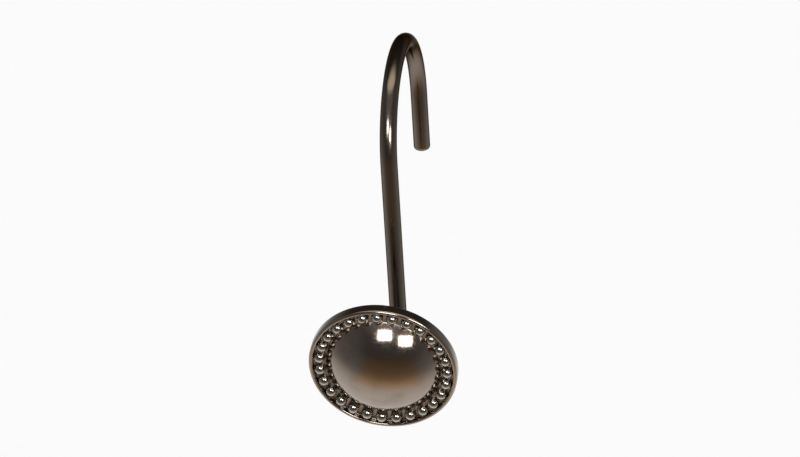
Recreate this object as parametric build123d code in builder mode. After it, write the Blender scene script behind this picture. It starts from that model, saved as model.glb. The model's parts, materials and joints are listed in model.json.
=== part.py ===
"""Shower curtain hook: an S-bent wire with a beaded, domed medallion at its front end.

Millimetres. The hook hangs from the X axis, -Y is the front and +Z is up. It is modelled as it hangs:
the shank leans back and the medallion faces forward and down.
"""

import os
from math import atan2, cos, degrees, floor, pi, radians, sin, sqrt

from build123d import *

# Large bend of the wire and its free tip
ROD_DIAMETER = 25.4
ROD_PLAY = 1.3
WIRE_DIAMETER = 3.0
TIP_LENGTH = 11.0
TIP_CHAMFER = 0.7

# Shank and small bend of the wire
SHANK_LEAN = 26.0
SHANK_LENGTH = 34.2
EYELET_RADIUS = 4.5
LIMB_LEAN = 38.5
LIMB_TO_MEDALLION_CENTRE = 5.45
WIRE_END_CHAMFER = 0.3

# Face of the medallion
MEDALLION_DIAMETER = 26.0
FLANGE_THICKNESS = 1.1
LIP_HEIGHT = 2.1
LIP_WIDTH = 0.7
LIP_OUTER_CHAMFER = 0.3
LIP_INNER_CHAMFER = 0.2
BEAD_DIAMETER = 2.1
BEAD_GAP = 0.45
BEAD_CLEARANCE = 0.05
BEAD_LIFT = 0.25
BEAD_SINK = 0.3
BEAD_SIDES = 12
BEAD_LATITUDES = (0, 36, 68)
DOME_RISE = 5.1

# Cored back of the medallion and its barrel for the wire
CASTING_WALL = 1.5
CORE_FLOOR_RADIUS = 5.0
LIMB_GAP = 0.3
SOCKET_STANDOFF = 1.4
SOCKET_DEPTH = 8.5
SOCKET_WALL = 1.2
SOCKET_CHAMFER = 0.5
SOCKET_CLEARANCE = 0.03
SOCKET_END_GAP = 0.2

# Sizes that follow
wire_radius = WIRE_DIAMETER / 2
rod_bend_radius = ROD_DIAMETER / 2 + ROD_PLAY + wire_radius
small_bend_radius = EYELET_RADIUS + wire_radius
small_bend_turn = 180 - (LIMB_LEAN - SHANK_LEAN)
limb_length = SOCKET_STANDOFF + SOCKET_DEPTH - SOCKET_END_GAP

medallion_radius = MEDALLION_DIAMETER / 2
lip_radius = medallion_radius - LIP_WIDTH
bead_radius = BEAD_DIAMETER / 2
bead_height = FLANGE_THICKNESS + BEAD_LIFT
bead_ring_radius = lip_radius - BEAD_CLEARANCE - bead_radius
bead_count = floor(2 * pi * bead_ring_radius / (BEAD_DIAMETER + BEAD_GAP))

dome_foot_radius = bead_ring_radius - bead_radius - BEAD_CLEARANCE
ball_radius = (dome_foot_radius**2 + DOME_RISE**2) / (2 * DOME_RISE)
ball_height = FLANGE_THICKNESS + DOME_RISE - ball_radius

core_ball_radius = ball_radius - CASTING_WALL
core_mouth_radius = sqrt(core_ball_radius**2 - ball_height**2)
core_depth = ball_height + sqrt(core_ball_radius**2 - CORE_FLOOR_RADIUS**2)

socket_radius = wire_radius + SOCKET_CLEARANCE + SOCKET_WALL
socket_axis_depth = wire_radius + LIMB_GAP
socket_length = SOCKET_DEPTH + SOCKET_WALL

# The wire's centreline, from the free tip at the back to the end in the medallion's barrel
rod_bend_start = (
    rod_bend_radius * cos(radians(SHANK_LEAN)),
    rod_bend_radius * sin(radians(SHANK_LEAN)) - ROD_PLAY,
)
tip_point = (
    rod_bend_start[0] + TIP_LENGTH * sin(radians(SHANK_LEAN)),
    rod_bend_start[1] - TIP_LENGTH * cos(radians(SHANK_LEAN)),
)
with BuildLine(Plane.YZ) as centreline:
    tip = Line(tip_point, rod_bend_start)
    rod_bend = JernArc(tip @ 1, tip % 1, rod_bend_radius, 180)
    shank = Line(rod_bend @ 1, rod_bend @ 1 + (rod_bend % 1) * SHANK_LENGTH)
    small_bend = JernArc(shank @ 1, shank % 1, small_bend_radius, -small_bend_turn)
    limb = Line(small_bend @ 1, small_bend @ 1 + (small_bend % 1) * limb_length)

# Planes of the medallion: its back, a half section, the ball of its dome and the mouth of its barrel
limb_direction = limb % 1
face_direction = limb_direction.cross(Vector(-1, 0, 0))
back_centre = limb @ 0 + limb_direction * LIMB_TO_MEDALLION_CENTRE + face_direction * socket_axis_depth
back_plane = Plane(back_centre, x_dir=(1, 0, 0), z_dir=face_direction)
section_plane = Plane(back_centre, x_dir=(1, 0, 0), z_dir=-limb_direction)
ball_plane = Plane(back_centre + face_direction * ball_height, x_dir=-face_direction, z_dir=(1, 0, 0))
socket_plane = Plane(limb @ 0 + limb_direction * SOCKET_STANDOFF, x_dir=(1, 0, 0), z_dir=limb_direction)
medallion_axis = Axis(back_centre, face_direction)

os.makedirs("parts", exist_ok=True)


def circles_of_radius(edges, radius):
    """Pick the circular edges that have the given radius."""
    return edges.filter_by(GeomType.CIRCLE).filter_by(lambda edge: abs(edge.radius - radius) < 1e-6)


# Wire: a round section swept along the centreline, with its free tip taken off all round
with BuildPart() as hook_wire:
    with BuildSketch(Plane(tip @ 0, z_dir=tip % 0)):
        Circle(wire_radius)
    sweep(path=centreline.line)
    end_edges = hook_wire.edges().filter_by(GeomType.CIRCLE)
    chamfer(end_edges.sort_by_distance(tip @ 0)[0], TIP_CHAMFER)
    chamfer(end_edges.sort_by_distance(limb @ 1)[0], WIRE_END_CHAMFER)
hook_wire.part.label = "hook_wire"
export_step(hook_wire.part, "parts/hook_wire.step")

# Bead: a half ball of few flat faces, from a foot sunk in the flange up to a small flat crown
with BuildPart() as bead:
    with BuildSketch(Plane.XY.offset(-BEAD_LIFT - BEAD_SINK)):
        RegularPolygon(bead_radius, BEAD_SIDES)
    extrude(amount=BEAD_LIFT + BEAD_SINK)
    for low, high in zip(BEAD_LATITUDES, BEAD_LATITUDES[1:]):
        rise = bead_radius * (sin(radians(high)) - sin(radians(low)))
        inset = bead_radius * (cos(radians(low)) - cos(radians(high))) * cos(pi / BEAD_SIDES)
        with BuildSketch(Plane.XY.offset(bead_radius * sin(radians(low)))):
            RegularPolygon(bead_radius * cos(radians(low)), BEAD_SIDES)
        extrude(amount=rise, taper=degrees(atan2(inset, rise)))

# Dome: the cap of a ball, with its foot inside the flange
with BuildPart() as dome:
    with Locations(ball_plane):
        Sphere(ball_radius)
    split(bisect_by=back_plane.offset(FLANGE_THICKNESS / 2), keep=Keep.TOP)

# Core of the casting: a tapered hollow under the dome, less the rib that carries the barrel
with BuildPart() as core:
    with BuildSketch(section_plane):
        with BuildLine():
            Polyline(
                (0, 0),
                (core_mouth_radius, 0),
                (CORE_FLOOR_RADIUS, core_depth),
                (0, core_depth),
                close=True,
            )
        make_face()
    revolve(axis=medallion_axis)
    with BuildSketch(socket_plane):
        Rectangle(2 * socket_radius, core_depth + socket_axis_depth, align=(Align.CENTER, Align.MAX))
    extrude(amount=socket_length, mode=Mode.SUBTRACT)

# Medallion: raised lip, beads and dome in front, cored out behind round the barrel that holds the wire
with BuildPart() as medallion:
    with BuildSketch(section_plane):
        with BuildLine():
            Polyline(
                (0, 0),
                (medallion_radius, 0),
                (medallion_radius, LIP_HEIGHT),
                (lip_radius, LIP_HEIGHT),
                (lip_radius, FLANGE_THICKNESS),
                (0, FLANGE_THICKNESS),
                close=True,
            )
        make_face()
    revolve(axis=medallion_axis)
    outer_edges = circles_of_radius(medallion.edges(), medallion_radius)
    chamfer(outer_edges.sort_by(medallion_axis)[-1], LIP_OUTER_CHAMFER)
    inner_edges = circles_of_radius(medallion.edges(), lip_radius)
    chamfer(inner_edges.sort_by(medallion_axis)[-1], LIP_INNER_CHAMFER)
    add(dome.part)
    with Locations(back_plane.offset(bead_height)):
        with PolarLocations(bead_ring_radius, bead_count, start_angle=90):
            add(bead.part)
    add(core.part, mode=Mode.SUBTRACT)
    with BuildSketch(socket_plane):
        Circle(socket_radius)
        Rectangle(2 * socket_radius, socket_axis_depth, align=(Align.CENTER, Align.MAX))
    extrude(amount=socket_length)
    chamfer(circles_of_radius(medallion.edges(), socket_radius), SOCKET_CHAMFER)
    with BuildSketch(socket_plane):
        Circle(wire_radius + SOCKET_CLEARANCE)
    extrude(amount=SOCKET_DEPTH, mode=Mode.SUBTRACT)
medallion.part.label = "medallion"
export_step(medallion.part, "parts/medallion.step")
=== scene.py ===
"""Looks of a shower curtain hook: an S-bent wire and a beaded, domed medallion in polished dark bronze.

Metres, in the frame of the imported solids: the hook hangs from the X axis, -Y is the front and +Z is up.
"""

import json
from math import asin, ceil, cos, floor, pi, radians, sin, sqrt, tau

import bmesh
import bpy
from bmesh.types import BMEdge, BMVert
from bpy.props import FloatProperty, FloatVectorProperty, PointerProperty
from mathutils import Matrix, Vector


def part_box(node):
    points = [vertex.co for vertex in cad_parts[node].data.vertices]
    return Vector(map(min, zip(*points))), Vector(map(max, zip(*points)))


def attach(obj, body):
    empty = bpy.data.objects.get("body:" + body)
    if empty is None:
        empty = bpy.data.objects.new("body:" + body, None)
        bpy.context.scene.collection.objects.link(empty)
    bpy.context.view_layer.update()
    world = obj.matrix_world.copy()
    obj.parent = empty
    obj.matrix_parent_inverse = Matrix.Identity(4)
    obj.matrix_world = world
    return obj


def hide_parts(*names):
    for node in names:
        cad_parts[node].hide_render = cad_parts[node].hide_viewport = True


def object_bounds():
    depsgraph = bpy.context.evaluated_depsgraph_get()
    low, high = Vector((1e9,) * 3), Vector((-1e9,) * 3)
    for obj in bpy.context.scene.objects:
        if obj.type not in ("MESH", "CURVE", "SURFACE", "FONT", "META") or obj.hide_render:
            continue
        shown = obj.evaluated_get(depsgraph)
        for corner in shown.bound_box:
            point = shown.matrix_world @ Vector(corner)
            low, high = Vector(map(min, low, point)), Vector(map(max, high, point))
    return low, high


bl_info = {
    "name": "Shower Curtain Hook",
    "version": (1, 0, 0),
    "blender": (4, 5, 0),
    "location": "3D View > Sidebar > Curtain Hook",
    "description": "Builds the wire and the beaded medallion of a curtain hook, with a small studio",
    "category": "Object",
}

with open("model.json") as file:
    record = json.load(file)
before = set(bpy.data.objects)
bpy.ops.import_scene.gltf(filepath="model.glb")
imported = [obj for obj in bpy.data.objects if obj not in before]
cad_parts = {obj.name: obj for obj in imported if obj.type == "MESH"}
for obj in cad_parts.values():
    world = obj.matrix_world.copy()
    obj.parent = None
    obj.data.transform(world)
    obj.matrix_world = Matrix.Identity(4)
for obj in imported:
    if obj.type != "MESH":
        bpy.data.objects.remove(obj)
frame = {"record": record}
CAD_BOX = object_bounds()

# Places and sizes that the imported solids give
MM = 0.001
MOUNTS = {mount["name"]: mount for mount in frame["record"]["mounts"]}
ROD_SEAT_RADIUS = MOUNTS["rod_seat"]["dims"]["r_mm"] * MM
EYELET_SEAT_RADIUS = MOUNTS["eyelet_seat"]["dims"]["r_mm"] * MM
EYELET_CENTRE = Vector(MOUNTS["eyelet_seat"]["pos_m"])
WIRE_LOW, WIRE_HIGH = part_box("hook_wire")
WIRE_DIAMETER = WIRE_HIGH.x - WIRE_LOW.x
MEDALLION_LOW, MEDALLION_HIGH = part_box("medallion")
ROD_BEND_CENTRE = Vector((0, 0, WIRE_HIGH.z - ROD_SEAT_RADIUS - WIRE_DIAMETER))

# Resolution of the meshes, and how near two places count as one
WIRE_SIDES = 48
STEP_ANGLE = radians(3)
DOME_FINENESS = 2
STEPS_PER_BEAD = 8
BEAD_SEGMENTS = 28
SHELL_SEGMENTS = 64
ROUNDING_SEGMENTS = 4
SHARP_ANGLE = radians(32)
MERGE_DISTANCE = 1e-7
NEAR = 0.01 * MM

# Directions, and the shape of the picture
ACROSS = Vector((1, 0, 0))
UP = Vector((0, 0, 1))
PICTURE_WIDTH = 800
PICTURE_HEIGHT = 457
SENSOR_WIDTH = 36.0

# Noise in the plating: patches to the metre, and the span of the noise that makes each pattern
CLOUD_SCALE = 260
CLOUD_SPAN = (0.45, 0.75)
SPECK_SCALE = 1500
SPECK_SPAN = (0.70, 0.78)
HAZE_SCALE = 2600
HAZE_SPAN = (0.3, 0.7)
WAVE_SCALE = 320
GRAIN_SCALE = 3200

# How far each pattern and each finish shows, and how far the painted shade in the grooves and the painted
# highlight on the beads and rim show
CLOUD_SHARE = 0.45
SPECK_SHARE = 0.35
HAZE_SHARE = 0.06
HAZE_ROUGHNESS = (-0.02, 0.03)
# Share of the painted shade that darkens the grooves round the beads
PAINTED_SHADE_SHARE = 0.2
# Shares of the painted highlight: the beads painted paler, and the rim a little paler and cooler
BEAD_HIGHLIGHT = 0.9
RIM_HIGHLIGHT = 0.3
BUMP_DEPTH = 0.02 * MM

# Margins over which one finish on the medallion passes into the next, the painted shade and the painted
# highlight included
EDGE_MARGIN = 0.1 * MM
DOME_MARGIN = 0.5 * MM
FLANGE_MARGIN = 0.3 * MM
BACK_SPAN = (-0.05 * MM, 0.15 * MM)
HOLLOW_SHALLOW = 0.4 * MM
HOLLOW_DEEP = 1.0 * MM

# The shell that the plating reflects, and its greys by degrees from its dim middle
SHELL_RADIUS = 0.75
DIM_MIDDLE_ELEVATION = radians(42)
SHELL_GREYS = (
    (25, 0.30),
    (50, 0.08),
    (75, 0.08),
    (99, 0.16),
    (108, 0.25),
    (115, 0.40),
    (123, 0.60),
    (132, 0.78),
    (148, 0.92),
)

# Patches on the shell: brown low in front, dark at the top, pale high in front, and a glow at the sides
BROWN_UP = (-0.35, -0.65)
BROWN_ASIDE = (0.75, 0.45)
BROWN_TURN = (140, 108)
BROWN_TINT = (1.35, 0.95, 0.56)
DARK_UP = (0.5, 0.8)
DARK_TONE = (0.04, 0.036, 0.03)
PALE_UP = (0.6, 0.75)
PALE_FRONT = (0.1, 0.5)
PALE_TONE = (1.5, 1.35, 1.15)
GLOW_ASIDE = (0.5, 0.95)
GLOW_TONE = 0.07

# Softboxes beside the camera: their distance and size, and the turn and elevation of each in degrees
SOFTBOX_DISTANCE = 0.3
SOFTBOX_WIDTH = 0.11
SOFTBOX_HEIGHT = 0.08
SOFTBOXES = (("softbox_left", -8.5, 8.0), ("softbox_right", 24.5, -0.5))

# Sweep of paper under and behind the hook
PAPER_HALF_WIDTH = 4.0
PAPER_FRONT = -4.0
PAPER_BEND = 0.6
PAPER_RISE = 4.0
PAPER_ROUGHNESS = 0.9


def length(name, description, default):
    """A size in metres."""
    return FloatProperty(
        name=name, description=description, default=default, min=0, unit="LENGTH", precision=5
    )


def angle(name, description, degrees):
    """An angle, given in degrees."""
    return FloatProperty(name=name, description=description, default=radians(degrees), unit="ROTATION")


def colour(name, description, default):
    """A linear colour."""
    return FloatVectorProperty(
        name=name, description=description, default=default, min=0, max=1, subtype="COLOR", size=3
    )


def share(name, description, default):
    """A value from 0 to 1."""
    return FloatProperty(
        name=name, description=description, default=default, min=0, max=1, subtype="FACTOR"
    )


def strength(name, description, default):
    """A brightness, where 1 is white."""
    return FloatProperty(name=name, description=description, default=default, min=0)


class WireSizes(bpy.types.PropertyGroup):
    """Sizes of the bent wire."""

    diameter: length("Diameter", "Thickness of the wire", WIRE_DIAMETER)
    tip_length: length("Tip length", "Straight run of the free tip at the back", 11.0 * MM)
    tip_rounding: length("Tip rounding", "Rounding of the free tip", 0.7 * MM)
    shank_lean: angle("Shank lean", "Lean of the shank from upright", 26)
    limb_lean: angle("Limb lean", "Lean of the short limb behind the medallion", 38.5)
    limb_length: length("Limb length", "Straight run that ends in the barrel", 9.7 * MM)
    end_rounding: length("End rounding", "Rounding of the end in the barrel", 0.3 * MM)


class MedallionSizes(bpy.types.PropertyGroup):
    """Sizes of the cast medallion."""

    diameter: length("Diameter", "Outer diameter of the lip", MEDALLION_HIGH.x - MEDALLION_LOW.x)
    flange: length("Flange", "Thickness of the casting under the beads", 1.1 * MM)
    lip_height: length("Lip height", "Height of the raised lip above the back", 2.1 * MM)
    lip_width: length("Lip width", "Width of the raised lip", 0.7 * MM)
    outer_rounding: length("Outer rounding", "Rounding of the lip's outer edge", 0.4 * MM)
    inner_rounding: length("Inner rounding", "Rounding of the lip's inner edge", 0.25 * MM)
    corner_fillet: length("Corner fillet", "Fillets in the channel that the beads stand in", 0.15 * MM)
    bead_diameter: length("Bead diameter", "Diameter of one bead", 2.1 * MM)
    bead_gap: length("Bead gap", "Least room between two beads", 0.45 * MM)
    bead_clearance: length("Bead clearance", "Room from the beads to the channel's walls", 0.05 * MM)
    bead_lift: length("Bead lift", "Height of the beads' middles above the flange", 0.25 * MM)
    bead_sink: length("Bead sink", "Depth of the beads' feet in the flange", 0.3 * MM)
    dome_rise: length("Dome rise", "Height of the dome above the flange", 5.1 * MM)
    casting_wall: length("Casting wall", "Wall of the dome over the cored back", 1.5 * MM)
    core_floor_radius: length("Core floor", "Radius of the hollow's flat floor", 5.0 * MM)
    back_rounding: length("Back rounding", "Rounding of the back's edges", 0.25 * MM)
    centre_along_limb: length("Centre", "Place of the centre along the limb", 5.45 * MM)
    limb_gap: length("Limb gap", "Gap between the limb and the back", 0.3 * MM)
    socket_standoff: length("Socket standoff", "Bare limb below the barrel", 1.4 * MM)
    socket_depth: length("Socket depth", "Depth of the barrel's bore", 8.5 * MM)
    socket_wall: length("Socket wall", "Wall of the barrel", 1.2 * MM)
    socket_rounding: length("Socket rounding", "Rounding of the barrel's ends", 0.5 * MM)
    socket_clearance: length("Socket clearance", "Play of the wire in the bore", 0.03 * MM)


class PlatingFinish(bpy.types.PropertyGroup):
    """Colours and gloss of the plating."""

    wire_colour: colour("Wire", "Satin plating on the wire", (0.22, 0.187, 0.157))
    wire_edge_colour: colour("Wire edge", "Tint of the wire's glancing reflections", (0.18, 0.17, 0.16))
    casting_colour: colour("Casting", "Polished plating on the medallion", (0.34, 0.277, 0.232))
    cloud_colour: colour("Cloud", "Faint clouds in the plating", (0.22, 0.172, 0.140))
    # A painted highlight: the beads, and the rim a little, are painted paler and cooler
    painted_highlight_colour: colour("Painted highlight", "Plating rubbed paler on the beads and the rim", (0.45, 0.44, 0.41))
    # Painted shade: the grooves round the beads are painted darker
    painted_shade_colour: colour("Shade", "Dark finish left in the grooves", (0.10, 0.092, 0.083))
    back_colour: colour("Back", "Duller plating on the cored back", (0.30, 0.255, 0.215))
    satin_roughness: share("Satin", "Roughness of the wire's satin plating", 0.17)
    gloss_roughness: share("Gloss", "Roughness of the polished plating", 0.11)
    cloud_haze: share("Cloud haze", "Roughness that the faint clouds add", 0.05)
    shade_roughness: share("Shade roughness", "Roughness in the grooves", 0.34)
    back_roughness: share("Back roughness", "Roughness of the cast back", 0.40)


class StudioSettings(bpy.types.PropertyGroup):
    """Camera, backdrop and lamps."""

    camera_azimuth: angle("Camera azimuth", "Turn of the camera to the right of the front", 10.2)
    camera_elevation: angle("Camera elevation", "Height of the camera's view above level", 0)
    camera_roll: angle("Camera roll", "Turn of the picture, so that the hook leans right", 1.4)
    lens: FloatProperty(name="Lens", description="Focal length in millimetres", default=200, min=1)
    frame_share: share("Frame share", "Share of the picture's height that the hook fills", 0.86)
    floor_drop: length("Floor drop", "Floor below the hook", 0.9)
    backdrop_distance: length("Backdrop", "Backdrop behind the hook", 1.6)
    paper_colour: colour("Paper", "Floor and backdrop", (1.0, 1.0, 1.0))
    ambience: strength("Ambience", "Even light from all round", 0.95)
    lamp_radiance: strength("Lamp", "Brightness of the two softboxes", 10.0)


def settings(name):
    """One of the scene's groups of settings."""
    return getattr(bpy.context.scene, name)


def in_yz(y, z):
    """A vector in the hook's own plane."""
    return Vector((0, y, z))


def linked(name, data):
    """A new object for a mesh, a lamp or a camera."""
    piece = bpy.data.objects.new(name, data)
    bpy.context.scene.collection.objects.link(piece)
    return piece


def mesh_of(name, shape):
    """The mesh of a bmesh, which is then freed."""
    mesh = bpy.data.meshes.new(name)
    shape.to_mesh(mesh)
    shape.free()
    return mesh


def of_kind(items, kind):
    """Those of an operator's results that are of one kind."""
    return [item for item in items if isinstance(item, kind)]


def closed_outwards(shape):
    """Merge what lies on the same spot and turn all faces outwards."""
    bmesh.ops.remove_doubles(shape, verts=shape.verts, dist=MERGE_DISTANCE)
    bmesh.ops.recalc_face_normals(shape, faces=shape.faces)


def rounded(shape, edges, width):
    """Round edges over to a width."""
    bmesh.ops.bevel(
        shape,
        geom=edges,
        offset=width,
        segments=ROUNDING_SEGMENTS,
        profile=0.5,
        affect="EDGES",
        material=-1,
        clamp_overlap=True,
    )


def edges_where(shape, test):
    """Edges whose two ends pass a test."""
    return [edge for edge in shape.edges if all(test(vert.co) for vert in edge.verts)]


def disc(shape, radius, matrix):
    """A round face as fine as the wire, and the ring of edges round it."""
    bmesh.ops.create_circle(shape, cap_ends=True, segments=WIRE_SIDES, radius=radius, matrix=matrix)
    return list(shape.edges)


def lined(shape, vert, point):
    """Draw an edge from a vertex to a point, and return the vertex there."""
    far = bmesh.ops.extrude_vert_indiv(shape, verts=[vert])["verts"][0]
    far.co = point
    return far


def drawn(shape, ring, travel):
    """Draw a ring out straight, and return the ring at the far end."""
    result = bmesh.ops.extrude_edge_only(shape, edges=ring)["geom"]
    bmesh.ops.translate(shape, verts=of_kind(result, BMVert), vec=travel)
    return of_kind(result, BMEdge)


def turned(shape, ring, centre, turn):
    """Turn a ring round a bend's centre, and return the ring at the far end."""
    verts = list({vert for edge in ring for vert in edge.verts})
    steps = ceil(abs(turn) / STEP_ANGLE)
    result = bmesh.ops.spin(shape, geom=verts + ring, cent=centre, axis=ACROSS, angle=turn, steps=steps)
    return of_kind(result["geom_last"], BMEdge)


def combined(solid, tool, operation):
    """Join a tool to a solid, or cut it away, and remove the tool."""
    modifier = solid.modifiers.new(operation.title(), "BOOLEAN")
    modifier.operation = operation
    modifier.solver = "EXACT"
    modifier.object = tool
    depsgraph = bpy.context.evaluated_depsgraph_get()
    mesh = bpy.data.meshes.new_from_object(solid.evaluated_get(depsgraph))
    solid.modifiers.clear()
    spent = [solid.data, tool.data]
    solid.data = mesh
    bpy.data.objects.remove(tool)
    for old in spent:
        bpy.data.meshes.remove(old)


def finished(piece, material, node):
    """Shade a piece, give it its material and put it in the place of its solid."""
    piece.data.shade_smooth()
    piece.data.set_sharp_from_angle(angle=SHARP_ANGLE)
    piece.data.materials.clear()
    piece.data.materials.append(material)
    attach(piece, "root")
    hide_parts(node)


def limb_directions(lean):
    """Directions up the limb and out of the medallion's face."""
    return in_yz(-sin(lean), cos(lean)), in_yz(-cos(lean), -sin(lean))


def small_bend_radius(wire):
    """Radius of the small bend's centreline."""
    return EYELET_SEAT_RADIUS + wire.diameter / 2


def medallion_matrix():
    """From the medallion's own axes, with Z out of its face and Y up the limb, to its place."""
    wire = settings("hook_wire_sizes")
    sizes = settings("hook_medallion_sizes")
    up_limb, outwards = limb_directions(wire.limb_lean)
    limb_start = EYELET_CENTRE + outwards * small_bend_radius(wire)
    back_offset = wire.diameter / 2 + sizes.limb_gap
    centre = limb_start + up_limb * sizes.centre_along_limb + outwards * back_offset
    axes = Matrix((ACROSS, up_limb, outwards)).transposed()
    return Matrix.Translation(centre) @ axes.to_4x4()


def bent_wire():
    """The wire: a ring of points drawn and turned along its runs and bends, from the free tip."""
    wire = settings("hook_wire_sizes")
    down_shank = in_yz(sin(wire.shank_lean), -cos(wire.shank_lean))
    off_shank = in_yz(cos(wire.shank_lean), sin(wire.shank_lean))
    rod_bend = ROD_SEAT_RADIUS + wire.diameter / 2
    tip_start = ROD_BEND_CENTRE + off_shank * rod_bend + down_shank * wire.tip_length
    shank_start = ROD_BEND_CENTRE - off_shank * rod_bend
    shank_end = EYELET_CENTRE + off_shank * small_bend_radius(wire)
    up_limb, _ = limb_directions(wire.limb_lean)

    shape = bmesh.new()
    facing = Matrix.Translation(tip_start) @ down_shank.to_track_quat("Z", "X").to_matrix().to_4x4()
    tip_ring = disc(shape, wire.diameter / 2, facing)
    ring = drawn(shape, tip_ring, -down_shank * wire.tip_length)
    ring = turned(shape, ring, ROD_BEND_CENTRE, pi)
    ring = drawn(shape, ring, shank_end - shank_start)
    ring = turned(shape, ring, EYELET_CENTRE, wire.limb_lean - wire.shank_lean - pi)
    end_ring = drawn(shape, ring, up_limb * wire.limb_length)
    bmesh.ops.edgeloop_fill(shape, edges=end_ring)
    closed_outwards(shape)
    rounded(shape, tip_ring, wire.tip_rounding)
    rounded(shape, [edge for edge in end_ring if edge.is_valid], wire.end_rounding)
    return linked("bent_wire", mesh_of("bent_wire", shape))


class MedallionForm:
    """Radii and heights of the medallion that follow from its sizes, in its own axes."""

    def __init__(self):
        sizes = settings("hook_medallion_sizes")
        self.sizes = sizes
        self.radius = sizes.diameter / 2
        self.bead_radius = sizes.bead_diameter / 2
        self.lip_radius = self.radius - sizes.lip_width
        self.bead_ring_radius = self.lip_radius - sizes.bead_clearance - self.bead_radius
        self.bead_count = floor(tau * self.bead_ring_radius / (sizes.bead_diameter + sizes.bead_gap))
        self.bead_height = sizes.flange + sizes.bead_lift
        self.dome_radius = self.bead_ring_radius - self.bead_radius - sizes.bead_clearance
        self.dome_apex = sizes.flange + sizes.dome_rise
        self.ball_radius = (self.dome_radius**2 + sizes.dome_rise**2) / (2 * sizes.dome_rise)
        self.ball_height = self.dome_apex - self.ball_radius
        core_ball = self.ball_radius - sizes.casting_wall
        self.core_mouth_radius = sqrt(core_ball**2 - self.ball_height**2)
        self.core_depth = self.ball_height + sqrt(core_ball**2 - sizes.core_floor_radius**2)
        wire_radius = settings("hook_wire_sizes").diameter / 2
        self.bore_radius = wire_radius + sizes.socket_clearance
        self.socket_radius = self.bore_radius + sizes.socket_wall
        self.socket_height = -(wire_radius + sizes.limb_gap)
        self.socket_start = sizes.socket_standoff - sizes.centre_along_limb
        self.socket_length = sizes.socket_depth + sizes.socket_wall


def turned_body(form):
    """Lip, dome and cored back, turned from one half section."""
    sizes = form.sizes
    shape = bmesh.new()
    apex = shape.verts.new((0, 0, form.dome_apex))
    sweep = asin(form.dome_radius / form.ball_radius)
    arc = bmesh.ops.spin(
        shape,
        geom=[apex],
        cent=(0, 0, form.ball_height),
        axis=(0, 1, 0),
        angle=sweep,
        steps=DOME_FINENESS * ceil(sweep / STEP_ANGLE),
    )
    last = of_kind(arc["geom_last"], BMVert)[0]
    corners = (
        (form.lip_radius, sizes.flange),
        (form.lip_radius, sizes.lip_height),
        (form.radius, sizes.lip_height),
        (form.radius, 0),
        (form.core_mouth_radius, 0),
        (sizes.core_floor_radius, form.core_depth),
        (0, form.core_depth),
    )
    for radius, height in corners:
        last = lined(shape, last, (radius, 0, height))
    bmesh.ops.spin(
        shape,
        geom=list(shape.verts) + list(shape.edges),
        cent=(0, 0, 0),
        axis=UP,
        angle=tau,
        steps=form.bead_count * STEPS_PER_BEAD,
        use_merge=True,
    )
    closed_outwards(shape)
    roundings = (
        (form.dome_radius, sizes.flange, sizes.corner_fillet),
        (form.lip_radius, sizes.flange, sizes.corner_fillet),
        (form.lip_radius, sizes.lip_height, sizes.inner_rounding),
        (form.radius, sizes.lip_height, sizes.outer_rounding),
        (form.radius, 0, sizes.back_rounding),
        (form.core_mouth_radius, 0, sizes.back_rounding),
        (sizes.core_floor_radius, form.core_depth, sizes.back_rounding),
    )
    for radius, height, width in roundings:
        rounded(shape, circle_edges(shape, radius, height), width)
    return linked("medallion", mesh_of("medallion", shape))


def circle_edges(shape, radius, height):
    """Edges of one circle round the medallion's axis."""
    return edges_where(
        shape, lambda point: abs(point.xy.length - radius) < NEAR and abs(point.z - height) < NEAR
    )


def bead_ring(form):
    """The ring of beads: balls with their feet cut flat inside the flange."""
    sizes = form.sizes
    shape = bmesh.new()
    ring_place = Matrix.Translation((0, form.bead_ring_radius, form.bead_height))
    for number in range(form.bead_count):
        bmesh.ops.create_uvsphere(
            shape,
            u_segments=BEAD_SEGMENTS,
            v_segments=BEAD_SEGMENTS // 2,
            radius=form.bead_radius,
            matrix=Matrix.Rotation(tau * number / form.bead_count, 4, "Z") @ ring_place,
        )
    cut = bmesh.ops.bisect_plane(
        shape,
        geom=list(shape.verts) + list(shape.edges) + list(shape.faces),
        plane_co=(0, 0, sizes.flange - sizes.bead_sink),
        plane_no=UP,
        clear_inner=True,
    )
    bmesh.ops.edgeloop_fill(shape, edges=of_kind(cut["geom_cut"], BMEdge))
    closed_outwards(shape)
    return linked("beads", mesh_of("beads", shape))


def barrel(form):
    """The barrel for the wire and the rib that carries it up to the dome's inside."""
    sizes = form.sizes
    rib_top = form.core_depth + sizes.casting_wall / 4
    shape = bmesh.new()
    side = shape.verts.new((-form.socket_radius, form.socket_start, form.socket_height))
    arc = bmesh.ops.spin(
        shape,
        geom=[side],
        cent=(0, form.socket_start, form.socket_height),
        axis=(0, 1, 0),
        angle=-pi,
        steps=WIRE_SIDES // 2,
    )
    last = of_kind(arc["geom_last"], BMVert)[0]
    for across in (form.socket_radius, -form.socket_radius):
        last = lined(shape, last, (across, form.socket_start, rib_top))
    shape.edges.new((last, side))
    mouth = bmesh.ops.edgeloop_fill(shape, edges=list(shape.edges))["faces"]
    far = bmesh.ops.extrude_face_region(shape, geom=mouth, use_keep_orig=True)["geom"]
    bmesh.ops.translate(shape, verts=of_kind(far, BMVert), vec=(0, form.socket_length, 0))
    closed_outwards(shape)
    for end in (form.socket_start, form.socket_start + form.socket_length):
        arc_edges = edges_where(
            shape, lambda point: abs(point.y - end) < NEAR and point.z < form.socket_height + NEAR
        )
        rounded(shape, arc_edges, sizes.socket_rounding)
    return linked("barrel", mesh_of("barrel", shape))


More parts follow.
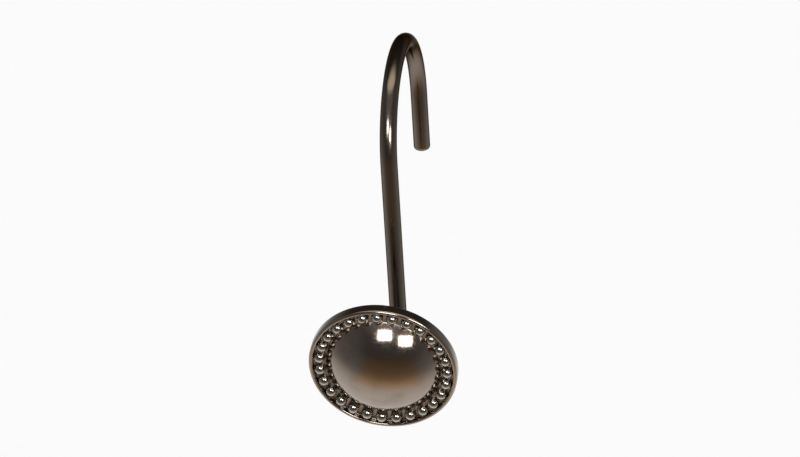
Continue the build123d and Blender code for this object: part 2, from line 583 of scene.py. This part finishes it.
def bore(form):
    """The bore that the wire goes into."""
    lead = form.sizes.socket_standoff / 2
    shape = bmesh.new()
    facing = Matrix.Translation((0, form.socket_start - lead, form.socket_height))
    ring = disc(shape, form.bore_radius, facing @ Matrix.Rotation(pi / 2, 4, "X"))
    ring = drawn(shape, ring, (0, lead + form.sizes.socket_depth, 0))
    bmesh.ops.edgeloop_fill(shape, edges=ring)
    closed_outwards(shape)
    return linked("bore", mesh_of("bore", shape))


def beaded_medallion():
    """The medallion, joined in its own axes and then put in its place."""
    form = MedallionForm()
    piece = turned_body(form)
    combined(piece, bead_ring(form), "UNION")
    combined(piece, barrel(form), "UNION")
    combined(piece, bore(form), "DIFFERENCE")
    piece.data.transform(medallion_matrix())
    piece.name = "beaded_medallion"
    piece.data.name = "beaded_medallion"
    return piece


class Nodes:
    """Shorthand for adding and linking the nodes of one tree, which is emptied first."""

    def __init__(self, tree):
        self.tree = tree
        self.nodes = tree.nodes
        self.nodes.clear()

    def add(self, kind, inputs=None, **values):
        """Add a node, set its values and set or link its inputs."""
        node = self.nodes.new(kind)
        for name, value in values.items():
            setattr(node, name, value)
        for name, value in (inputs or {}).items():
            self.set(node.inputs[name], value)
        return node

    def set(self, socket, value):
        """Set one input, or link it to an output."""
        if isinstance(value, bpy.types.NodeSocket):
            self.tree.links.new(value, socket)
        elif hasattr(socket.default_value, "__len__") and len(socket.default_value) == 4:
            socket.default_value = (*value, 1)
        else:
            socket.default_value = value

    def noise(self, vector, scale, detail):
        """Noise of a scale in patches to the metre."""
        inputs = {"Vector": vector, "Scale": scale, "Detail": detail}
        return self.add("ShaderNodeTexNoise", inputs).outputs["Fac"]

    def ramp(self, value, low, high, to_low=0.0, to_high=1.0):
        """A smooth step from one value to another."""
        inputs = {
            "Value": value,
            "From Min": low,
            "From Max": high,
            "To Min": to_low,
            "To Max": to_high,
        }
        return self.add("ShaderNodeMapRange", inputs, interpolation_type="SMOOTHSTEP").outputs["Result"]

    def fall(self, value, low, high):
        """A smooth step down from 1 to 0."""
        return self.ramp(value, low, high, 1.0, 0.0)

    def math(self, operation, first, second=0.0):
        """One sum, product or comparison."""
        return self.add("ShaderNodeMath", {0: first, 1: second}, operation=operation).outputs["Value"]

    def times(self, first, second):
        """The product of two values."""
        return self.math("MULTIPLY", first, second)

    def vector_math(self, operation, output, *vectors):
        """One sum, product or measure of vectors."""
        inputs = dict(enumerate(vectors))
        return self.add("ShaderNodeVectorMath", inputs, operation=operation).outputs[output]

    def along(self, vector, direction):
        """How far a vector goes in a direction."""
        return self.vector_math("DOT_PRODUCT", "Value", vector, direction)

    def mix(self, data_type, sockets, values, output):
        """A blend, by the numbers of its sockets, because each type's sockets share their names."""
        node = self.add("ShaderNodeMix", data_type=data_type)
        for number, value in zip(sockets, values):
            self.set(node.inputs[number], value)
        return node.outputs[output]

    def mix_colour(self, factor, first, second):
        """A blend of two colours."""
        return self.mix("RGBA", (0, 6, 7), (factor, first, second), 2)

    def mix_value(self, factor, first, second):
        """A blend of two values."""
        return self.mix("FLOAT", (0, 2, 3), (factor, first, second), 0)


def group_tree(name, inputs, outputs):
    """A shader node group with its sockets, and its nodes at each end."""
    tree = bpy.data.node_groups.new(name, "ShaderNodeTree")
    for socket, kind in inputs:
        tree.interface.new_socket(socket, in_out="INPUT", socket_type=kind)
    for socket, kind in outputs:
        tree.interface.new_socket(socket, in_out="OUTPUT", socket_type=kind)
    nodes = Nodes(tree)
    return nodes, nodes.add("NodeGroupInput").outputs, nodes.add("NodeGroupOutput").inputs


def new_material(name):
    """A material, and its empty tree of nodes."""
    material = bpy.data.materials.new(name)
    material.use_nodes = True
    return material, Nodes(material.node_tree)


def plated_finish():
    """Group of the plating: faint clouds and specks, fine haze and a slight waviness."""
    name = "Plated finish"
    if name in bpy.data.node_groups:
        return bpy.data.node_groups[name]
    nodes, given, put = group_tree(
        name,
        (
            ("Vector", "NodeSocketVector"),
            ("Polished", "NodeSocketColor"),
            ("Cloud", "NodeSocketColor"),
            ("Gloss Roughness", "NodeSocketFloat"),
            ("Cloud Roughness", "NodeSocketFloat"),
        ),
        (("Color", "NodeSocketColor"), ("Roughness", "NodeSocketFloat"), ("Height", "NodeSocketFloat")),
    )
    vector = given["Vector"]
    clouds = nodes.ramp(nodes.noise(vector, CLOUD_SCALE, detail=3), *CLOUD_SPAN)
    specks = nodes.ramp(nodes.noise(vector, SPECK_SCALE, detail=1), *SPECK_SPAN)
    haze = nodes.noise(vector, HAZE_SCALE, detail=2)
    waves = nodes.noise(vector, WAVE_SCALE, detail=1)
    stain = nodes.math("MAXIMUM", nodes.times(clouds, CLOUD_SHARE), nodes.times(specks, SPECK_SHARE))
    nodes.set(put["Color"], nodes.mix_colour(stain, given["Polished"], given["Cloud"]))
    blurred = nodes.mix_value(clouds, given["Gloss Roughness"], given["Cloud Roughness"])
    hazed = nodes.math("ADD", blurred, nodes.ramp(haze, *HAZE_SPAN, *HAZE_ROUGHNESS))
    nodes.set(put["Roughness"], hazed)
    nodes.set(put["Height"], nodes.math("ADD", waves, nodes.times(haze, HAZE_SHARE)))
    return bpy.data.node_groups[name]


def plating_material(name):
    """A metal material, with its nodes, its shader and its Object coordinates."""
    material, nodes = new_material(name)
    shader = nodes.add("ShaderNodeBsdfPrincipled", {"Metallic": 1.0})
    nodes.add("ShaderNodeOutputMaterial", {"Surface": shader.outputs["BSDF"]})
    place = nodes.add("ShaderNodeTexCoord").outputs["Object"]
    return material, nodes, shader, place


def plated(nodes, place, base, roughness):
    """The shared plating over one base colour, which the clouds make rougher."""
    finish = settings("hook_finish")
    inputs = {
        "Vector": place,
        "Polished": base,
        "Cloud": finish.cloud_colour,
        "Gloss Roughness": roughness,
        "Cloud Roughness": roughness + finish.cloud_haze,
    }
    return nodes.add("ShaderNodeGroup", inputs, node_tree=plated_finish()).outputs


def bumped(nodes, shader, height):
    """Feed a height into the shader's normal."""
    bump = nodes.add("ShaderNodeBump", {"Height": height, "Strength": 1.0, "Distance": BUMP_DEPTH})
    nodes.set(shader.inputs["Normal"], bump.outputs["Normal"])


def wire_plating():
    """Satin dark bronze on the wire."""
    finish = settings("hook_finish")
    material, nodes, shader, place = plating_material("wire_plating")
    layer = plated(nodes, place, finish.wire_colour, finish.satin_roughness)
    nodes.set(shader.inputs["Specular Tint"], finish.wire_edge_colour)
    nodes.set(shader.inputs["Base Color"], layer["Color"])
    nodes.set(shader.inputs["Roughness"], layer["Roughness"])
    bumped(nodes, shader, layer["Height"])
    return material


def medallion_places(nodes, place, form):
    """Radius from the medallion's axis, height above its back, and distance from its dome's centre."""
    matrix = medallion_matrix()
    own = nodes.add(
        "ShaderNodeMapping",
        {"Vector": place, "Location": matrix.to_translation(), "Rotation": matrix.to_euler()},
        vector_type="TEXTURE",
    ).outputs["Vector"]
    axes = nodes.add("ShaderNodeSeparateXYZ", {"Vector": own}).outputs
    flat = nodes.add("ShaderNodeCombineXYZ", {"X": axes["X"], "Y": axes["Y"]}).outputs["Vector"]
    radius = nodes.vector_math("LENGTH", "Value", flat)
    from_ball = nodes.vector_math("DISTANCE", "Value", own, (0, 0, form.ball_height))
    return radius, axes["Z"], from_ball


def face_masks(nodes, form, radius, height):
    """Masks of the grooves round the beads, for painted shade, and of the painted highlight: the beads,
    and the rim a little.
    """
    flange = form.sizes.flange
    low = nodes.fall(height, flange + EDGE_MARGIN, form.bead_height + form.bead_radius / 2)
    past_dome = nodes.ramp(radius, form.dome_radius - DOME_MARGIN, form.dome_radius + EDGE_MARGIN)
    inside_lip = nodes.fall(radius, form.lip_radius - EDGE_MARGIN, form.lip_radius + EDGE_MARGIN)
    front = nodes.ramp(height, flange - FLANGE_MARGIN, flange - EDGE_MARGIN)
    channel = nodes.times(nodes.times(past_dome, inside_lip), front)
    groove = nodes.times(channel, low)
    raised = nodes.math("SUBTRACT", channel, groove)
    painted = nodes.math("MAXIMUM", nodes.times(raised, BEAD_HIGHLIGHT), nodes.times(past_dome, RIM_HIGHLIGHT))
    return groove, painted


def back_mask(nodes, form, height, from_ball):
    """Mask of the flat back, the barrel and the hollow under the dome."""
    behind = nodes.fall(height, *BACK_SPAN)
    hollow = nodes.fall(from_ball, form.ball_radius - HOLLOW_DEEP, form.ball_radius - HOLLOW_SHALLOW)
    return nodes.math("MAXIMUM", behind, hollow)


def medallion_plating():
    """Polished dark bronze on the medallion, with painted shade in the grooves, a painted highlight on
    the beads and rim, and duller plating on its cored back.
    """
    finish = settings("hook_finish")
    form = MedallionForm()
    material, nodes, shader, place = plating_material("medallion_plating")
    layer = plated(nodes, place, finish.casting_colour, finish.gloss_roughness)
    radius, height, from_ball = medallion_places(nodes, place, form)
    groove, painted = face_masks(nodes, form, radius, height)
    back = back_mask(nodes, form, height, from_ball)

    # The painted highlight paints the beads paler, and the rim a little; the painted shade then darkens
    # the grooves
    painted_highlight_colour = nodes.mix_colour(painted, layer["Color"], finish.painted_highlight_colour)
    front_colour = nodes.mix_colour(nodes.times(groove, PAINTED_SHADE_SHARE), painted_highlight_colour, finish.painted_shade_colour)
    nodes.set(shader.inputs["Base Color"], nodes.mix_colour(back, front_colour, finish.back_colour))
    front_roughness = nodes.mix_value(groove, layer["Roughness"], finish.shade_roughness)
    nodes.set(shader.inputs["Roughness"], nodes.mix_value(back, front_roughness, finish.back_roughness))
    grain = nodes.times(nodes.noise(place, GRAIN_SCALE, detail=3), back)
    bumped(nodes, shader, nodes.math("ADD", layer["Height"], grain))
    return material


class HOOK_OT_wire(bpy.types.Operator):
    """Build the bent wire"""

    bl_idname = "hook.wire"
    bl_label = "Bent Wire"

    def execute(self, context):
        finished(bent_wire(), wire_plating(), "hook_wire")
        return {"FINISHED"}


class HOOK_OT_medallion(bpy.types.Operator):
    """Build the beaded medallion"""

    bl_idname = "hook.medallion"
    bl_label = "Beaded Medallion"

    def execute(self, context):
        finished(beaded_medallion(), medallion_plating(), "medallion")
        return {"FINISHED"}


class HOOK_OT_studio(bpy.types.Operator):
    """Set up the floor, backdrop, lamps and camera"""

    bl_idname = "hook.studio"
    bl_label = "Studio"

    def execute(self, context):
        studio = settings("hook_studio")
        context.scene.view_settings.view_transform = "Standard"
        paper_sweep(studio)
        room_shell(studio)
        softboxes(studio)
        ambience(studio)
        camera(studio)
        return {"FINISHED"}


def paper_sweep(studio):
    """Floor and backdrop in one sweep of pale paper."""
    floor_height = CAD_BOX[0].z - studio.floor_drop
    bend_start = studio.backdrop_distance - PAPER_BEND
    shape = bmesh.new()
    left = shape.verts.new((-PAPER_HALF_WIDTH, PAPER_FRONT, floor_height))
    right = shape.verts.new((PAPER_HALF_WIDTH, PAPER_FRONT, floor_height))
    edge = [shape.edges.new((left, right))]
    edge = drawn(shape, edge, (0, bend_start - PAPER_FRONT, 0))
    edge = turned(shape, edge, Vector((0, bend_start, floor_height + PAPER_BEND)), pi / 2)
    drawn(shape, edge, (0, 0, PAPER_RISE))
    closed_outwards(shape)
    mesh = mesh_of("paper_sweep", shape)
    mesh.shade_smooth()
    mesh.materials.append(pale_paper(studio))
    linked("paper_sweep", mesh)


def pale_paper(studio):
    """Plain matt paper."""
    material, nodes = new_material("pale_paper")
    inputs = {"Base Color": studio.paper_colour, "Roughness": PAPER_ROUGHNESS, "Specular IOR Level": 0.0}
    shader = nodes.add("ShaderNodeBsdfPrincipled", inputs)
    nodes.add("ShaderNodeOutputMaterial", {"Surface": shader.outputs["BSDF"]})
    return material


def towards(azimuth, elevation):
    """Direction from the hook to a place round it."""
    level = cos(elevation)
    return Vector((sin(azimuth) * level, -cos(azimuth) * level, sin(elevation)))


def half_turns(degrees):
    """An angle in half turns, as the shell's greys are laid out."""
    return radians(degrees) / pi


def grey(value):
    """A grey without transparency."""
    return (value, value, value, 1)


def reflected_only(card):
    """Keep a card out of everything but reflections."""
    card.visible_camera = False
    card.visible_diffuse = False
    card.visible_transmission = False
    card.visible_volume_scatter = False
    card.visible_shadow = False


def room_shell(studio):
    """A shell round the hook that shows only in reflections, dim in front and pale below and behind."""
    centre = (CAD_BOX[0] + CAD_BOX[1]) / 2
    shape = bmesh.new()
    bmesh.ops.create_uvsphere(
        shape,
        u_segments=SHELL_SEGMENTS,
        v_segments=SHELL_SEGMENTS // 2,
        radius=SHELL_RADIUS,
        matrix=Matrix.Translation(centre),
    )
    shell = linked("room_shell", mesh_of("room_shell", shape))
    shell.data.shade_smooth()
    shell.data.materials.append(room_tones(studio, centre))
    reflected_only(shell)


def shell_greys(nodes, turn):
    """The shell's greys, by the turn from its dim middle in half turns."""
    greys = nodes.add("ShaderNodeValToRGB", {"Fac": turn})
    (first_turn, first_grey), *others = SHELL_GREYS
    stops = greys.color_ramp.elements
    stops.remove(stops[1])
    stops[0].position = half_turns(first_turn)
    stops[0].color = grey(first_grey)
    for degrees, value in others:
        stops.new(half_turns(degrees)).color = grey(value)
    return greys.outputs["Color"]


def room_tones(studio, centre):
    """Greys of the shell with its patches: brown low in front, dark at the top and pale high in front."""
    material, nodes = new_material("room_tones")
    place = nodes.add("ShaderNodeTexCoord").outputs["Object"]
    ray = nodes.vector_math("NORMALIZE", "Vector", nodes.vector_math("SUBTRACT", "Vector", place, centre))
    dim_middle = towards(studio.camera_azimuth, DIM_MIDDLE_ELEVATION)
    turn = nodes.math("DIVIDE", nodes.math("ARCCOSINE", nodes.along(ray, dim_middle)), pi)
    up = nodes.along(ray, UP)
    front = nodes.along(ray, towards(studio.camera_azimuth, 0))
    aside = nodes.math("ABSOLUTE", nodes.along(ray, towards(studio.camera_azimuth + pi / 2, 0)))

    low = nodes.times(nodes.ramp(up, *BROWN_UP), nodes.ramp(aside, *BROWN_ASIDE))
    brown = nodes.times(low, nodes.ramp(turn, *map(half_turns, BROWN_TURN)))
    tint = nodes.mix_colour(brown, (1, 1, 1), BROWN_TINT)
    tinted = nodes.vector_math("MULTIPLY", "Vector", tint, shell_greys(nodes, turn))
    glow = nodes.ramp(aside, *GLOW_ASIDE, 0.0, GLOW_TONE)
    lit = nodes.vector_math("ADD", "Vector", tinted, glow)
    topped = nodes.mix_colour(nodes.ramp(up, *DARK_UP), lit, DARK_TONE)
    pale = nodes.times(nodes.ramp(up, *PALE_UP), nodes.ramp(front, *PALE_FRONT))
    tones = nodes.mix_colour(pale, topped, PALE_TONE)
    light = nodes.add("ShaderNodeEmission", {"Color": tones, "Strength": 1.0})
    nodes.add("ShaderNodeOutputMaterial", {"Surface": light.outputs["Emission"]})
    return material


def softboxes(studio):
    """Two softboxes beside the camera."""
    medallion = medallion_matrix().to_translation()
    for name, turn, elevation in SOFTBOXES:
        lamp = bpy.data.lights.new(name, "AREA")
        lamp.shape = "RECTANGLE"
        lamp.size = SOFTBOX_WIDTH
        lamp.size_y = SOFTBOX_HEIGHT
        lamp.energy = studio.lamp_radiance * pi * SOFTBOX_WIDTH * SOFTBOX_HEIGHT
        box = linked(name, lamp)
        way = towards(studio.camera_azimuth + radians(turn), radians(elevation))
        box.location = medallion + way * SOFTBOX_DISTANCE
        box.rotation_euler = way.to_track_quat("Z", "Y").to_euler()
        box.visible_camera = False


def ambience(studio):
    """Even pale light from all round."""
    world = bpy.data.worlds.new("studio_air")
    world.use_nodes = True
    nodes = Nodes(world.node_tree)
    air = nodes.add("ShaderNodeBackground", {"Color": (1, 1, 1), "Strength": studio.ambience})
    nodes.add("ShaderNodeOutputWorld", {"Surface": air.outputs["Background"]})
    bpy.context.scene.world = world


def camera(studio):
    """A long lens that looks at the middle of the hook."""
    low, high = CAD_BOX
    lens = bpy.data.cameras.new("camera")
    lens.lens = studio.lens
    lens.sensor_width = SENSOR_WIDTH
    picture_height = (high.z - low.z) / studio.frame_share
    picture_width = picture_height * PICTURE_WIDTH / PICTURE_HEIGHT
    eye = linked("camera", lens)
    way = towards(studio.camera_azimuth, studio.camera_elevation)
    eye.location = (low + high) / 2 + way * (picture_width * studio.lens / SENSOR_WIDTH)
    level = way.to_track_quat("Z", "Y").to_matrix()
    eye.rotation_euler = (level @ Matrix.Rotation(studio.camera_roll, 3, "Z")).to_euler()
    bpy.context.scene.camera = eye


class HOOK_PT_sidebar(bpy.types.Panel):
    """Sizes, finishes and studio of the curtain hook"""

    bl_idname = "HOOK_PT_sidebar"
    bl_label = "Curtain Hook"
    bl_space_type = "VIEW_3D"
    bl_region_type = "UI"
    bl_category = "Curtain Hook"

    def draw(self, context):
        for group, operator in PANEL_ROWS:
            box = self.layout.box()
            values = getattr(context.scene, group)
            for name in values.__annotations__:
                box.prop(values, name)
            if operator:
                box.operator(operator)


PANEL_ROWS = (
    ("hook_finish", None),
    ("hook_wire_sizes", HOOK_OT_wire.bl_idname),
    ("hook_medallion_sizes", HOOK_OT_medallion.bl_idname),
    ("hook_studio", HOOK_OT_studio.bl_idname),
)
GROUPS = {
    "hook_finish": PlatingFinish,
    "hook_wire_sizes": WireSizes,
    "hook_medallion_sizes": MedallionSizes,
    "hook_studio": StudioSettings,
}
CLASSES = (*GROUPS.values(), HOOK_OT_wire, HOOK_OT_medallion, HOOK_OT_studio, HOOK_PT_sidebar)


def register():
    for cls in CLASSES:
        bpy.utils.register_class(cls)
    for name, group in GROUPS.items():
        setattr(bpy.types.Scene, name, PointerProperty(type=group))


def unregister():
    for name in GROUPS:
        delattr(bpy.types.Scene, name)
    for cls in reversed(CLASSES):
        bpy.utils.unregister_class(cls)


def main():
    register()
    bpy.ops.hook.wire()
    bpy.ops.hook.medallion()
    bpy.ops.hook.studio()


if __name__ == "__main__":
    main()
